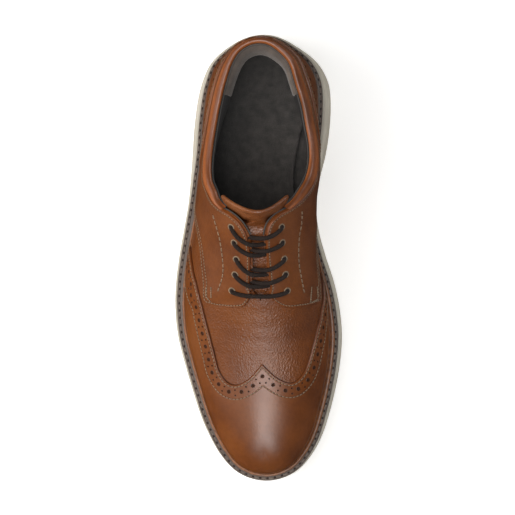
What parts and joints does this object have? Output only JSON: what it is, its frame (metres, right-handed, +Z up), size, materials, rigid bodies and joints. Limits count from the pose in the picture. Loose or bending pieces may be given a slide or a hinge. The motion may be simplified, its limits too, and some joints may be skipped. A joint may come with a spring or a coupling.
{
  "type": "dress shoe",
  "caption": "Tan leather wing-tip derby dress shoe with brogue panels, dark waxed laces and a pale rubber unit sole",
  "frame": {"origin": "centre of the bounding box in plan, on the floor under the sole", "axes": "-Y towards the toe, +X towards the inner (medial) side of the foot, +Z up"},
  "size_m": [0.1131, 0.3002, 0.1076],
  "materials": {
    "sole_rubber": "matt moulded rubber",
    "welt_leather": "dull taupe strip",
    "bead_leather": "satin",
    "upper_leather": "waxed, soft gloss",
    "tongue_leather": "fine grain, satin",
    "collar_leather": "smooth, satin",
    "insole_cloth": "woven, matt",
    "lace_cord": "waxed cotton"
  },
  "bodies": {
    "root": {"sole": "sole_rubber", "welt": "welt_leather", "welt_bead": "bead_leather", "upper": "upper_leather", "insole": "insole_cloth", "tongue": "tongue_leather", "wing_tip": "upper_leather", "quarter_lateral": "upper_leather", "quarter_medial": "upper_leather", "heel_counter": "upper_leather", "collar": "collar_leather", "lace_bar": "lace_cord", "lace_cross_1": "lace_cord", "lace_cross_2": "lace_cord", "lace_cross_3": "lace_cord", "lace_cross_4": "lace_cord"}
  },
  "joints": []
}
